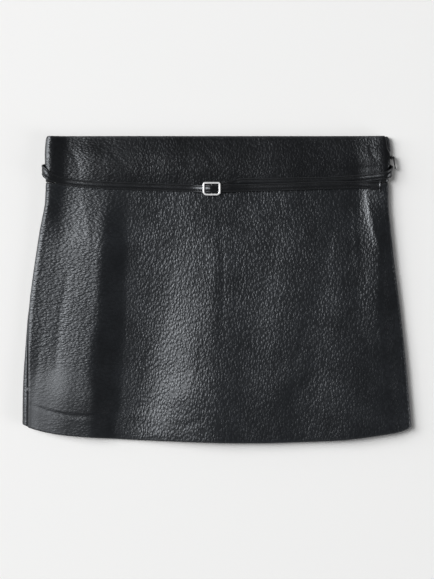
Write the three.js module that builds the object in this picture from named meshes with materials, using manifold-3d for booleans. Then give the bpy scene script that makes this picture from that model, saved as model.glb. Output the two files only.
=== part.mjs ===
// A leather mini skirt with its slim belt, laid flat on its back.
// Millimetres. +X is to the right of the laid-out front, +Y runs from the hem to the waist, +Z is up.
// The origin lies on the surface under the skirt, in the middle of its outline.
import * as THREE from "three";
import { mergeVertices } from "three/addons/utils/BufferGeometryUtils.js";
import Module from "manifold-3d";

const wasm = await Module();
wasm.setup();

// Cloth
const LENGTH = 340; // centre front, from the hem to the waist edge
const WAIST_Y = LENGTH / 2;
const LEATHER = 1.5; // one layer of the skirt's leather
const BAND_LEATHER = 1.8; // the waistband, pressed double
const HEM_TURN_UP = 30; // the hem is turned up inside and glued, so it is two layers thick
const HEM_STEP = 4; // the turned-up edge is skived over this width
const LAY_GAP = 0.4; // between the front and the back where the front lies on it
const SEAM_GAP = 0.3; // between two pieces at a seam
const SEAM_CENTRE_Y = 112.5; // the waistband seam, under the belt
const SEAM_SIDE_Y = 118.5;
const LEFT_SEAM_INSET = 6.9; // the left side seam shows this far in from the edge at the hem
const LEFT_SEAM_FROM_Y = -125;
const LEFT_SEAM_TO_Y = -15; // and is at the very edge from here up
const BACK_HEM_RISE = 0.8; // the back's hem ends this much above the front's, out of sight
const FOOT_SHARE = 1.1; // the back leaves the side's turn this much further in than the front does
const LAY_BLEND = 1.2; // how softly a fold leaves the layer that it lies on

// Belt
const STRAP_WIDTH = 8.4;
const STRAP_THICK = 1.3;
const STRAP_CHAMFER = 0.35;
const STRAP_GAP = 0.4; // between the strap and what it lies on
const STRAP_REST = STRAP_GAP + STRAP_THICK / 2; // the strap's centre above what it lies on
const STRAP_STEP = 8;
const STRAND_Y = 138; // the strand behind the skirt, between the back and the surface
const STRAND_LIFT = STRAP_THICK + STRAP_GAP; // how far that strand holds the back off the surface
const STRAND_RAMP_BACK = 12; // how far from the strand its low hump runs out, in the back
const STRAND_RAMP_FRONT = 27; // and in the front
const BELT_RIGHT_END = 3.12; // the strap's stretches end behind the skirt at these laps
const BELT_BACK_ENDS = [3.121, 3.8655];
const BELT_LEFT_END = -2.13;

// Buckle: a three-bar slide
const BUCKLE = { x: -5.9, y: 111.1, width: 19.8, height: 15, bar: 2.1, thick: 1.8 };
const BUCKLE_CORNER_TOP = 2.8;
const BUCKLE_CORNER_BOTTOM = 4.5;
const BUCKLE_BEVEL = 0.45;
const BUCKLE_LIFT = 5.1; // the frame's underside above the front
const MIDDLE_BAR_RADIUS = 0.6;
const MIDDLE_BAR_LIFT = 2.5; // its centre above the front
const MIDDLE_BAR_REACH = 5.35; // from its centre to the legs that carry it
const LOOP_RADIUS = MIDDLE_BAR_RADIUS + 0.3 + STRAP_THICK / 2;

// Concealed side zip
const ZIP_TOP_Y = 141.2;
const ZIP_BOTTOM_Y = -42;
const ZIP_TAPE = 0.8;
const ZIP_TAPE_LAPS = [1.55, 2.45];
const ZIP_TAPE_GAP = 0.6; // between it and the leather's inside
const ZIP_OPENING = 1.7; // the gap between the waistband's ends above the slider
const ZIP_OPENING_FROM_Y = 142.2;
const ZIP_OPENING_RAMP = 1.6;
const ZIP_OPENING_INSET = 2.6; // how far in from the edge that gap runs near the waist edge
const ZIP_INSET_FROM_Y = 150;
const ZIP_INSET_TO_Y = 157;
const SLIDER_Y = 146;
const SLIDER = { // its boxes: their middle from the skirt's edge, and their size outward, along and up
  plate: { out: 0.65, deep: 0.7, long: 4.6 },
  neck: { out: -1.4, deep: 4, long: 3, high: 0.5 },
  body: { out: -3.6, deep: 1.7, long: 6, high: 2 },
  ear: { out: 1.775, deep: 2.55, long: 2.4, high: 0.8 },
};
const PIN_OUT = 2.55; // from the skirt's edge to the pull tab's pin
const PIN_RADIUS = 0.45;
const PIN_PLAY = 0.3; // between the pull tab and the slider's ears
const PULL = { length: 13, width: 3.4, thick: 1.3, eye: 1.15, hole: 0.78, bevel: 0.15, angle: 10 };

const COLOURS = {
  leather: { color: 0x26282b, roughness: 0.45, metalness: 0 },
  band: { color: 0x242629, roughness: 0.45, metalness: 0 },
  belt: { color: 0x151617, roughness: 0.5, metalness: 0 },
  steel: { color: 0xd6d8da, roughness: 0.15, metalness: 1 },
  zip: { color: 0x111213, roughness: 0.6, metalness: 0 },
  pull: { color: 0x1a1b1c, roughness: 0.35, metalness: 0.6 },
};

// The outline seen from above.
const OUTLINE = [
  { y: -150, left: -215.8, right: 215.8 },
  { y: -112, left: -215.4, right: 212.9 },
  { y: -67, left: -212.7, right: 208.7 },
  { y: -23, left: -209.5, right: 204.2 },
  { y: 22, left: -203.9, right: 198.6 },
  { y: 66, left: -197.1, right: 193.4 },
  { y: 99, left: -190.9, right: 190.6 },
  { y: 118, left: -190.2, right: 190.4 },
  { y: 150, left: -191.2, right: 192.9 },
  { y: 166, left: -190.2, right: 191.2 },
  { y: 170, left: -188.6, right: 189.2 },
];
const HEM = [
  { x: -215.8, y: -150.5 },
  { x: -201, y: -155.4 },
  { x: -174, y: -160.7 },
  { x: -130, y: -164.4 },
  { x: -63, y: -167.6 },
  { x: 37, y: -170 },
  { x: 92, y: -168.8 },
  { x: 137, y: -166.8 },
  { x: 181, y: -161.3 },
  { x: 202, y: -157.9 },
  { x: 215.8, y: -152.5 },
];

// The front's relief: each line runs up the skirt, and x and z give its place and height at the stations.
const STATIONS = [-160, -125, -85, -30, 40, 112, 170];
const FOLDS = [
  {
    line: "left turn",
    x: [-208.6, -208.2, -207, -203, -194.5, -185.5, -184],
    z: [9.4, 8.6, 7.6, 7, 7, 9, 8.8],
  },
  {
    line: "left hollow",
    x: [-198, -196, -192, -187, -179, -168, -165],
    z: [10.8, 10, 8.45, 7.8, 7.7, 6.6, 5.6],
  },
  {
    line: "left brow",
    x: [-166, -162, -155, -144, -138, -138, -132],
    z: [13.2, 13.6, 12, 12, 11.95, 8.4, 6.6],
  },
  {
    line: "left fold",
    x: [-142, -138, -142, -133, -129, -120, -96],
    z: [13.8, 14.5, 12.65, 12.6, 12.7, 8.8, 7],
  },
  {
    line: "left valley",
    x: [-112, -106, -103, -100, -98, -94, -76],
    z: [7.6, 6, 6, 6.2, 7.2, 8.4, 7],
  },
  {
    line: "middle foot",
    x: [-98, -90, -81, -80, -78, -66, -60],
    z: [7.9, 6.2, 6.2, 6.3, 7.3, 8.3, 6.9],
  },
  {
    line: "middle brow",
    x: [-16, -20, -21, -14, -11, -20, -26],
    z: [15.8, 15.8, 14.3, 12.8, 10.8, 8.3, 6.8],
  },
  {
    line: "middle fold",
    x: [0, -1, -2, -3, -1, -4, -10],
    z: [16.5, 16.8, 15.3, 13.4, 11.15, 8.3, 6.8],
  },
  {
    line: "middle valley",
    x: [32, 30, 34, 32, 30, 34, 20],
    z: [14.9, 15.1, 14, 13, 11, 7.8, 6.7],
  },
  {
    line: "low fold",
    x: [64, 64, 84, 84, 100, 84, 60],
    z: [14.9, 15.1, 14.7, 14, 12.2, 8, 6.7],
  },
  {
    line: "low valley",
    x: [92, 92, 107, 109, 126, 112, 100],
    z: [13.9, 14, 13.9, 13.5, 12.1, 7.8, 6.6],
  },
  {
    line: "right swell",
    x: [150, 150, 148, 140, 140, 132, 122],
    z: [15.6, 15.5, 14.9, 14.2, 12, 7.3, 6.7],
  },
  {
    line: "right valley",
    x: [172, 170, 166, 154, 157, 155, 148],
    z: [15.2, 15.1, 14.6, 14, 11.8, 7, 6.8],
  },
  {
    line: "right fold",
    x: [190, 188, 184, 176, 179, 174, 169],
    z: [14, 14, 13.8, 14.6, 13, 9.2, 8.2],
  },
  {
    line: "right turn",
    x: [210, 208, 204.8, 199.2, 190.5, 185.6, 184],
    z: [10.4, 10, 9.8, 10, 10.6, 9.9, 9.8],
  },
];

// Mesh counts
const FRONT_COLUMNS = 52;
const TURN_COLUMNS = 5;
const BACK_COLUMNS = 14;
const PANEL_ROWS = 11; // above the turned-up hem
const SEAM_ROWS = [16, 8, 0]; // and how far below the waistband seam the last ones are
const NEAR_HEM_Y = -155; // a panel's columns are placed by their x here and behind the belt
const EDGE_ROUND = 0.28; // how much of the leather's thickness a rounded edge loses on each side

const TINY = 1e-9;
const clamp = (value, low, high) => Math.min(high, Math.max(low, value));
const lerp = THREE.MathUtils.lerp;
const smoothstep = THREE.MathUtils.smoothstep;

// A smooth curve through rows of [place, value] that doesn't overshoot them.
function smoothCurve(rows, levelEnds = false) {
  const gaps = rows.slice(1).map((row, i) => row[0] - rows[i][0]);
  const rises = gaps.map((gap, i) => (rows[i + 1][1] - rows[i][1]) / gap);
  const slopes = rows.map((row, i) => {
    const before = rises[i - 1];
    const after = rises[i];
    if (before === undefined || after === undefined) return levelEnds ? 0 : (before ?? after);
    if (before * after <= 0) return 0;
    const near = 2 * gaps[i] + gaps[i - 1];
    const far = gaps[i] + 2 * gaps[i - 1];
    return (near + far) / (near / before + far / after);
  });
  return (place) => {
    const found = rows.findIndex((row) => row[0] > place) - 1;
    const i = found === -2 ? gaps.length - 1 : Math.max(found, 0);
    const t = clamp((place - rows[i][0]) / gaps[i], 0, 1);
    const u = 1 - t;
    const ends = u * u * (1 + 2 * t) * rows[i][1] + t * t * (1 + 2 * u) * rows[i + 1][1];
    return ends + gaps[i] * t * u * (u * slopes[i] - t * slopes[i + 1]);
  };
}

const leftEdge = smoothCurve(OUTLINE.map((row) => [row.y, row.left]));
const rightEdge = smoothCurve(OUTLINE.map((row) => [row.y, row.right]));
const hemLine = smoothCurve(HEM.map((row) => [row.x, row.y]));
const foldLines = FOLDS.map((fold) => ({
  across: smoothCurve(STATIONS.map((y, i) => [y, fold.x[i]])),
  height: smoothCurve(STATIONS.map((y, i) => [y, fold.z[i]])),
}));

function seamLine(x) {
  const share = clamp(Math.abs(x) / 190, 0, 1);
  return lerp(SEAM_CENTRE_Y, SEAM_SIDE_Y, share * share);
}

// A low hump over the belt's strand behind the skirt.
function strandHump(y, ramp) {
  const away = Math.abs(y - STRAND_Y) - STRAP_WIDTH / 2 - 0.8;
  return STRAND_LIFT * (1 - smoothstep(away, 0, ramp));
}

// The leather's thickness at a place on either panel.
function wallAt(x, y) {
  const aboveHem = y - hemLine(x);
  const turnedUp = 1 - smoothstep(aboveHem, HEM_TURN_UP - HEM_STEP / 2, HEM_TURN_UP + HEM_STEP / 2);
  const skirt = LEATHER * (1 + turnedUp);
  return lerp(skirt, BAND_LEATHER, smoothstep(y - seamLine(x), -6, 0));
}

// The skirt's outer outline in a cut across it at y: rounded turns at the sides, the back flat below.
const sections = new Map();
function sectionAt(y) {
  const key = y.toFixed(3);
  if (sections.has(key)) return sections.get(key);
  const relief = smoothCurve(foldLines.map((fold) => [fold.across(y), fold.height(y)]), true);
  const under = strandHump(y, STRAND_RAMP_BACK);
  const over = strandHump(y, STRAND_RAMP_FRONT);
  const front = (x) => {
    const lying = 2 * wallAt(x, y) + LAY_GAP;
    const apart = relief(x) - lying;
    return over + lying + (apart + Math.sqrt(apart * apart + LAY_BLEND * LAY_BLEND)) / 2;
  };
  const turnLeft = foldLines[0].across(y);
  const turnRight = foldLines[foldLines.length - 1].across(y);
  const topLeft = front(turnLeft);
  const topRight = front(turnRight);
  const section = {
    front,
    under,
    left: { edge: leftEdge(y), turn: turnLeft, top: topLeft, middle: (topLeft + under) / 2 },
    right: { edge: rightEdge(y), turn: turnRight, top: topRight, middle: (topRight + under) / 2 },
  };
  for (const side of [section.left, section.right]) side.foot = lerp(side.edge, side.turn, FOOT_SHARE);
  sections.set(key, section);
  return section;
}

// A place round the section. lap 0 to 1 crosses the front from left to right, 1 to 2 and 2 to 3 turn round
// the right side, 3 to 4 crosses the back, and 4 to 5 and 5 to 6 turn round the left side.
function placeAt(lap, y) {
  const { front, under, left, right } = sectionAt(y);
  const turned = THREE.MathUtils.euclideanModulo(lap, 6);
  const leg = Math.floor(turned);
  const part = turned - leg;
  const rising = Math.sin((part * Math.PI) / 2);
  const falling = Math.cos((part * Math.PI) / 2);
  const quarter = (side, out, up) => ({
    x: (up < 0 ? side.foot : side.turn) + (side.edge - (up < 0 ? side.foot : side.turn)) * out,
    z: side.middle + (up < 0 ? side.middle - under : side.top - side.middle) * up,
  });
  if (leg === 0) {
    const x = lerp(left.turn, right.turn, part);
    return { x, z: front(x) };
  }
  if (leg === 1) return quarter(right, rising, falling);
  if (leg === 2) return quarter(right, falling, -Math.max(rising, TINY));
  if (leg === 3) return { x: lerp(right.foot, left.foot, part), z: under };
  if (leg === 4) return quarter(left, rising, -Math.max(falling, TINY));
  return quarter(left, falling, rising);
}

// A point of the outer surface and the way out of it, square to the section.
function skinAt(lap, y) {
  const step = 1e-4;
  const place = placeAt(lap, y);
  const before = placeAt(lap - step, y);
  const after = placeAt(lap + step, y);
  const out = new THREE.Vector3(before.z - after.z, 0, after.x - before.x).normalize();
  return { point: new THREE.Vector3(place.x, y, place.z), out };
}

// How far one lap unit is at a place, in millimetres.
function lapLength(lap, y) {
  const step = 1e-3;
  const before = placeAt(lap - step, y);
  const after = placeAt(lap + step, y);
  return Math.hypot(after.x - before.x, after.z - before.z) / (2 * step);
}

// The side seams, as laps.
function leftSeam(y) {
  const { edge, turn } = sectionAt(y).left;
  const inset = LEFT_SEAM_INSET * (1 - smoothstep(y, LEFT_SEAM_FROM_Y, LEFT_SEAM_TO_Y));
  const angle = Math.acos(1 - Math.min(inset / (turn - edge), 0.97));
  return -1 + (angle / Math.PI) * 2;
}

function rightSeam(y) {
  const { edge, turn } = sectionAt(y).right;
  const inset = ZIP_OPENING_INSET * smoothstep(y, ZIP_INSET_FROM_Y, ZIP_INSET_TO_Y);
  return 1 + (Math.asin(1 - inset / (edge - turn)) / Math.PI) * 2;
}

function rightSeamGap(y) {
  const open = smoothstep(y, ZIP_OPENING_FROM_Y - ZIP_OPENING_RAMP, ZIP_OPENING_FROM_Y);
  return lerp(SEAM_GAP, ZIP_OPENING, open);
}

// A closed wall between an outer and an inner grid of points.
function wallGeometry(outer, inner) {
  const rows = outer.length;
  const columns = outer[0].length;
  const points = [...outer.flat(), ...inner.flat()];
  const at = (row, column, side) => side * rows * columns + row * columns + column;
  const faces = [];
  const quad = (a, b, c, d) => faces.push(a, b, c, a, c, d);
  for (let r = 0; r < rows - 1; r++) {
    for (let c = 0; c < columns - 1; c++) {
      quad(at(r, c, 0), at(r, c + 1, 0), at(r + 1, c + 1, 0), at(r + 1, c, 0));
      quad(at(r, c, 1), at(r + 1, c, 1), at(r + 1, c + 1, 1), at(r, c + 1, 1));
    }
    const last = columns - 1;
    quad(at(r + 1, 0, 1), at(r, 0, 1), at(r, 0, 0), at(r + 1, 0, 0));
    quad(at(r, last, 1), at(r + 1, last, 1), at(r + 1, last, 0), at(r, last, 0));
  }
  for (let c = 0; c < columns - 1; c++) {
    const last = rows - 1;
    quad(at(0, c, 1), at(0, c + 1, 1), at(0, c + 1, 0), at(0, c, 0));
    quad(at(last, c + 1, 1), at(last, c, 1), at(last, c, 0), at(last, c + 1, 0));
  }
  return new THREE.BufferGeometry().setFromPoints(points).setIndex(faces);
}

// A piece of the skirt. laps(y) gives its columns, rows give how far up between its two ends each row is,
// and a soft row is a rounded edge.
function clothPiece({ laps, rows, bottom, top, thickness }) {
  const place = (column, row) => {
    const low = bottom(placeAt(laps(NEAR_HEM_Y)[column], NEAR_HEM_Y).x);
    const high = top(placeAt(laps(STRAND_Y)[column], STRAND_Y).x);
    return lerp(low, high, row.up);
  };
  const columns = laps(0).map((lap, column) => column);
  const grid = (depth) =>
    rows.map((row) =>
      columns.map((column) => {
        const y = place(column, row);
        const { point, out } = skinAt(laps(y)[column], y);
        const wall = thickness(point.x, y);
        const inward = row.soft ? lerp(EDGE_ROUND, 1 - EDGE_ROUND, depth) : depth;
        return point.addScaledVector(out, -wall * inward);
      }),
    );
  return wallGeometry(grid(0), grid(1));
}

const spread = (from, to, count) => Array.from({ length: count + 1 }, (_, i) => lerp(from, to, i / count));

function frontLaps(y) {
  const from = leftSeam(y);
  const to = rightSeam(y);
  const start = from + SEAM_GAP / 2 / lapLength(from, y);
  const end = to - rightSeamGap(y) / 2 / lapLength(to, y);
  return [
    ...spread(start, 0, TURN_COLUMNS),
    ...spread(0, 1, FRONT_COLUMNS).slice(1),
    ...spread(1, end, TURN_COLUMNS).slice(1),
  ];
}

function backLaps(y) {
  const from = rightSeam(y);
  const to = leftSeam(y);
  const start = from + rightSeamGap(y) / 2 / lapLength(from, y);
  const end = 6 + to - SEAM_GAP / 2 / lapLength(to, y);
  return [
    ...spread(start, 3, TURN_COLUMNS + 3),
    ...spread(3, 4, BACK_COLUMNS).slice(1),
    ...spread(4, end, TURN_COLUMNS + 3).slice(1),
  ];
}

// Rows of a panel, from its rounded hem past the turned-up edge to the waistband seam.
function panelRows() {
  const height = WAIST_Y + SEAM_CENTRE_Y;
  const hem = [0, 0.9, 12, HEM_TURN_UP - HEM_STEP / 2, HEM_TURN_UP + HEM_STEP / 2];
  const low = hem.map((mm, i) => ({ up: mm / height, soft: i === 0 }));
  const near = SEAM_ROWS.map((mm) => 1 - mm / height);
  const middle = spread(low[low.length - 1].up, near[0], PANEL_ROWS).slice(1, -1);
  return [...low, ...[...middle, ...near].map((up) => ({ up, soft: false }))];
}

// Rows of the waistband. Two of them mark where the zip's opening starts.
function bandRows() {
  const height = WAIST_Y - SEAM_SIDE_Y;
  const opening = (ZIP_OPENING_FROM_Y - SEAM_SIDE_Y) / height;
  const closed = opening - ZIP_OPENING_RAMP / height;
  const ups = [0, 0.13, 0.26, closed, opening, 0.62, 0.8, 1 - 0.8 / height, 1];
  return ups.map((up) => ({ up, soft: up === 1 }));
}

const belowSeam = (x) => seamLine(x) - SEAM_GAP / 2;
const aboveSeam = (x) => seamLine(x) + SEAM_GAP / 2;

function frontPanel() {
  return clothPiece({
    laps: frontLaps,
    rows: panelRows(),
    bottom: hemLine,
    top: belowSeam,
    thickness: wallAt,
  });
}

function backPanel() {
  return clothPiece({
    laps: backLaps,
    rows: panelRows(),
    bottom: (x) => hemLine(x) + BACK_HEM_RISE,
    top: belowSeam,
    thickness: wallAt,
  });
}

function waistband(laps, rise) {
  return clothPiece({
    laps,
    rows: bandRows(),
    bottom: aboveSeam,
    top: () => WAIST_Y - rise,
    thickness: () => BAND_LEATHER,
  });
}

// The zip's tape with its closed coil, inside the right side seam.
function zipTape() {
  const columns = spread(...ZIP_TAPE_LAPS, 6);
  const grid = (depth) =>
    spread(ZIP_BOTTOM_Y, ZIP_TOP_Y, 12).map((y) =>
      columns.map((lap) => {
        const { point, out } = skinAt(lap, y);
        const under = wallAt(point.x, y) + ZIP_TAPE_GAP;
        return point.addScaledVector(out, -under - depth * ZIP_TAPE);
      }),
    );
  return wallGeometry(grid(0), grid(1));
}

// Distance round the section from the middle of the front, and back to a lap.
const rounds = new Map();
function roundAt(y) {
  const key = y.toFixed(3);
  if (rounds.has(key)) return rounds.get(key);
  const laps = [
    ...spread(-2.5, -2, 4),
    ...spread(-2, 0, 24).slice(1),
    ...spread(0, 1, 120).slice(1),
    ...spread(1, 3, 24).slice(1),
    ...spread(3, 4, 8).slice(1),
  ];
  let travelled = 0;
  const rows = laps.map((lap, i) => {
    if (i > 0) {
      const from = placeAt(laps[i - 1], y);
      const to = placeAt(lap, y);
      travelled += Math.hypot(to.x - from.x, to.z - from.z);
    }
    return { lap, travelled };
  });
  const middle = between(rows, "lap", "travelled", lapOfX(0, y));
  for (const row of rows) row.travelled -= middle;
  rounds.set(key, rows);
  return rows;
}

function lapOfX(x, y) {
  const { left, right } = sectionAt(y);
  return (x - left.turn) / (right.turn - left.turn);
}

function between(rows, from, to, value) {
  const found = rows.findIndex((row) => row[from] > value);
  const i = clamp(found === -1 ? rows.length - 1 : found, 1, rows.length - 1);
  const share = (value - rows[i - 1][from]) / (rows[i][from] - rows[i - 1][from]);
  return lerp(rows[i - 1][to], rows[i][to], share);
}

const alongOfLap = (lap, y) => between(roundAt(y), "lap", "travelled", lap);
const alongOfX = (x, y) => alongOfLap(lapOfX(x, y), y);

// A point at a distance along, a height up the skirt and a height off its surface.
function overSkin(along, y, off) {
  const lap = between(roundAt(y), "travelled", "lap", along);
  const { point, out } = skinAt(lap, y);
  return point.addScaledVector(out, off);
}

// A flat strap along rows of {x or lap, y, off, width}, off being its centre above the skirt's surface.
function strap(rows) {
  const knots = rows.map(({ x, lap, y, off }) => {
    const along = lap === undefined ? alongOfX(x, y) : alongOfLap(lap, y);
    return new THREE.Vector3(along, y, off);
  });
  const route = new THREE.CatmullRomCurve3(knots, false, "centripetal");
  const halfThick = STRAP_THICK / 2;
  const inset = STRAP_CHAMFER;
  const rings = [];
  for (let k = 0; k < knots.length - 1; k++) {
    const steps = clamp(Math.round(knots[k].distanceTo(knots[k + 1]) / STRAP_STEP), 2, 5);
    for (let i = k === 0 ? 0 : 1; i <= steps; i++) {
      const t = (k + i / steps) / (knots.length - 1);
      const width = lerp(rows[k].width ?? STRAP_WIDTH, rows[k + 1].width ?? STRAP_WIDTH, i / steps);
      const middle = route.getPoint(t);
      const ahead = route.getTangent(t);
      const across = new THREE.Vector3(0, 1, 0).addScaledVector(ahead, -ahead.y).normalize();
      const up = new THREE.Vector3().crossVectors(ahead, across);
      const half = width / 2;
      const profile = [
        [half, -halfThick + inset], [half, halfThick - inset],
        [half - inset, halfThick], [-half + inset, halfThick],
        [-half, halfThick - inset], [-half, -halfThick + inset],
        [-half + inset, -halfThick], [half - inset, -halfThick],
      ];
      const ring = profile.map(([a, b]) => {
        const at = middle.clone().addScaledVector(across, a).addScaledVector(up, b);
        return overSkin(at.x, at.y, at.z);
      });
      rings.push(ring);
    }
  }
  return tubeGeometry(rings);
}

// A closed tube through rings of the same number of points.
function tubeGeometry(rings) {
  const sides = rings[0].length;
  const faces = [];
  for (let r = 0; r < rings.length - 1; r++) {
    for (let j = 0; j < sides; j++) {
      const k = (j + 1) % sides;
      const [a, b, c, d] = [r * sides + j, r * sides + k, (r + 1) * sides + k, (r + 1) * sides + j];
      faces.push(a, b, c, a, c, d);
    }
  }
  const last = (rings.length - 1) * sides;
  for (let j = 1; j < sides - 1; j++) {
    faces.push(0, j + 1, j, last, last + j, last + j + 1);
  }
  return new THREE.BufferGeometry().setFromPoints(rings.flat()).setIndex(faces);
}

// The strap's fixed end goes round the buckle's middle bar, then right across the front and round the side.
function beltRight() {
  const { x, y } = BUCKLE;
  const loop = spread(-90, -270, 6).map((degrees) => {
    const angle = THREE.MathUtils.degToRad(degrees);
    const off = MIDDLE_BAR_LIFT + LOOP_RADIUS * Math.sin(angle);
    return { x: x + LOOP_RADIUS * Math.cos(angle), y, off };
  });
  const over = STRAP_REST + STRAP_THICK + 0.3;
  return strap([
    { x: x + 16.5, y: y + 0.9, off: STRAP_REST },
    { x: x + 11, y: y + 0.5, off: STRAP_REST },
    { x: x + 5, y, off: STRAP_REST },
    ...loop,
    { x: x + 3, y: y + 0.2, off: 3.65 },
    { x: x + 6, y: y + 0.7, off: 2.8 },
    { x: x + 9, y: y + 1.5, off: over },
    { x: x + 13, y: y + 2.7, off: over },
    { x: x + 18, y: y + 4.2, off: over },
    { x: x + 25, y: y + 6, off: 1.2 },
    { x: x + 34, y: 118.6, off: STRAP_REST },
    { x: 60, y: 119.2, off: STRAP_REST },
    { x: 95, y: 119.8, off: STRAP_REST },
    { x: 130, y: 120.8, off: STRAP_REST },
    { x: 158, y: 122.8, off: STRAP_REST },
    { x: 172, y: 124.2, off: 1.2 },
    { x: 181, y: 125.2, off: 1.6 },
    { lap: 1.25, y: 126.4, off: 1.9 },
    { lap: 1.6, y: 128.2, off: 2.3 },
    { lap: 1.95, y: 130.6, off: 2.5 },
    { lap: 2.3, y: 133, off: 2.1 },
    { lap: 2.65, y: 135.2, off: 1.2 },
    { lap: 3, y: 136.8, off: STRAP_REST },
    { lap: 3.06, y: 137.8, off: STRAP_REST },
    { lap: BELT_RIGHT_END, y: STRAND_Y, off: STRAP_REST },
  ]);
}

function beltBack() {
  const [from, to] = BELT_BACK_ENDS;
  return strap(spread(from, to, 3).map((lap) => ({ lap, y: STRAND_Y, off: STRAP_REST })));
}

// From behind round the left side, across the front, through the buckle, and on as the free end.
function beltLeft() {
  const { x, y } = BUCKLE;
  const above = STRAP_REST + STRAP_THICK + 0.35;
  return strap([
    { lap: BELT_LEFT_END, y: STRAND_Y, off: STRAP_REST },
    { lap: -2.07, y: 137.8, off: STRAP_REST },
    { lap: -2, y: 136.8, off: STRAP_REST },
    { lap: -1.65, y: 135.6, off: 1.3 },
    { lap: -1.3, y: 134.6, off: 2.4 },
    { lap: -0.95, y: 132.8, off: 2.9 },
    { lap: -0.55, y: 129.6, off: 2.7 },
    { lap: -0.1, y: 125.6, off: 2.2 },
    { x: -181.5, y: 123.2, off: 1.9 },
    { x: -175, y: 120.9, off: 1.4 },
    { x: -163, y: 118.6, off: STRAP_REST },
    { x: -146, y: 116.8, off: STRAP_REST },
    { x: -117, y: 115.1, off: STRAP_REST },
    { x: -86, y: 113.8, off: STRAP_REST },
    { x: -50, y: 112.6, off: STRAP_REST },
    { x: -26, y: 111.8, off: 1.1 },
    { x: x - 13, y: y + 0.2, off: 2.6 },
    { x: x - 8.8, y, off: 3.9 },
    { x: x - 5.6, y, off: 5.2 },
    { x: x - 2.6, y, off: 6.1 },
    { x: x + 0.4, y, off: 6.2 },
    { x: x + 3.4, y: y + 0.1, off: 5.4 },
    { x: x + 6.4, y: y + 0.2, off: 4.35 },
    { x: x + 9.4, y: y + 0.3, off: 4.15 },
    { x: x + 14, y: y + 0.5, off: 4.15 },
    { x: x + 19, y: y + 0.7, off: 4.1 },
    { x: x + 26, y: y + 0.9, off: 3.3 },
    { x: x + 38, y: 112.4, off: above },
    { x: 62, y: 113.2, off: above },
    { x: 95, y: 114.3, off: above },
    { x: 125, y: 115.4, off: above },
    { x: 150, y: 115.7, off: above, width: 8 },
    { x: 165, y: 115.2, off: 2.5, width: 8 },
    { x: 174, y: 114.8, off: 1.9, width: 9.4 },
    { x: 180.6, y: 114.5, off: 1.5, width: 10.6 },
  ]);
}

// A closed outline with its own corner radius at the top and at the bottom.
function roundedOutline(shape, width, height, top, bottom) {
  const w = width / 2;
  const h = height / 2;
  const quarter = Math.PI / 2;
  shape.moveTo(w, -h + bottom);
  shape.lineTo(w, h - top);
  shape.absarc(w - top, h - top, top, 0, quarter, false);
  shape.lineTo(-w + top, h);
  shape.absarc(-w + top, h - top, top, quarter, 2 * quarter, false);
  shape.lineTo(-w, -h + bottom);
  shape.absarc(-w + bottom, -h + bottom, bottom, 2 * quarter, 3 * quarter, false);
  shape.lineTo(w - bottom, -h);
  shape.absarc(w - bottom, -h + bottom, bottom, 3 * quarter, 4 * quarter, false);
  return shape;
}

function extruded(shape, thick, bevel, curveSegments) {
  return new THREE.ExtrudeGeometry(shape, {
    depth: thick - 2 * bevel,
    bevelEnabled: bevel > 0,
    bevelThickness: bevel,
    bevelSize: bevel,
    bevelOffset: -bevel,
    bevelSegments: 2,
    curveSegments,
  }).translate(0, 0, bevel);
}

// A closed geometry as a solid that can be joined, and back.
function solid(geometry) {
  const bare = geometry.clone();
  bare.deleteAttribute("normal");
  bare.deleteAttribute("uv");
  const merged = mergeVertices(bare, 1e-4);
  return new wasm.Manifold(
    new wasm.Mesh({
      numProp: 3,
      vertProperties: new Float32Array(merged.attributes.position.array),
      triVerts: new Uint32Array(merged.index.array),
    }),
  );
}

function joined(geometries) {
  const whole = geometries.map(solid).reduce((sum, piece) => sum.add(piece));
  const { vertProperties, triVerts } = whole.getMesh();
  return new THREE.BufferGeometry()
    .setAttribute("position", new THREE.BufferAttribute(vertProperties, 3))
    .setIndex(new THREE.BufferAttribute(triVerts, 1));
}

// The frame lies flat. The middle bar drops below it, so the strap passes over it level with the frame.
function buckle() {
  const { width, height, bar, thick } = BUCKLE;
  const outer = roundedOutline(new THREE.Shape(), width, height, BUCKLE_CORNER_TOP, BUCKLE_CORNER_BOTTOM);
  const hole = [width - 2 * bar, height - 2 * bar, BUCKLE_CORNER_TOP - 1.2, BUCKLE_CORNER_BOTTOM - 1.6];
  outer.holes.push(roundedOutline(new THREE.Path(), ...hole));
  const frame = extruded(outer, thick, BUCKLE_BEVEL, 4).translate(0, 0, BUCKLE_LIFT);
  const low = MIDDLE_BAR_LIFT;
  const high = BUCKLE_LIFT + thick / 2;
  const end = height / 2 - bar / 2;
  const leg = [
    { y: end, z: high },
    { y: end - 0.4, z: high - 0.8 },
    { y: MIDDLE_BAR_REACH, z: low + 1.2 },
    { y: MIDDLE_BAR_REACH - 0.35, z: low + 0.25 },
    { y: MIDDLE_BAR_REACH - 1, z: low },
  ];
  const otherLeg = leg.map(({ y, z }) => ({ y: -y, z })).reverse();
  const knots = [...leg, { y: 0, z: low }, ...otherLeg].map(({ y, z }) => new THREE.Vector3(0, y, z));
  const route = new THREE.CatmullRomCurve3(knots, false, "centripetal");
  const round = new THREE.Shape().absarc(0, 0, MIDDLE_BAR_RADIUS, 0, 2 * Math.PI, false);
  const rod = new THREE.ExtrudeGeometry(round, { steps: 22, extrudePath: route, curveSegments: 4 });
  return joined([frame, rod]);
}

function box({ out, deep, long, high }, z = 0) {
  return new THREE.BoxGeometry(deep, long, high).translate(out, 0, z);
}

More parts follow.
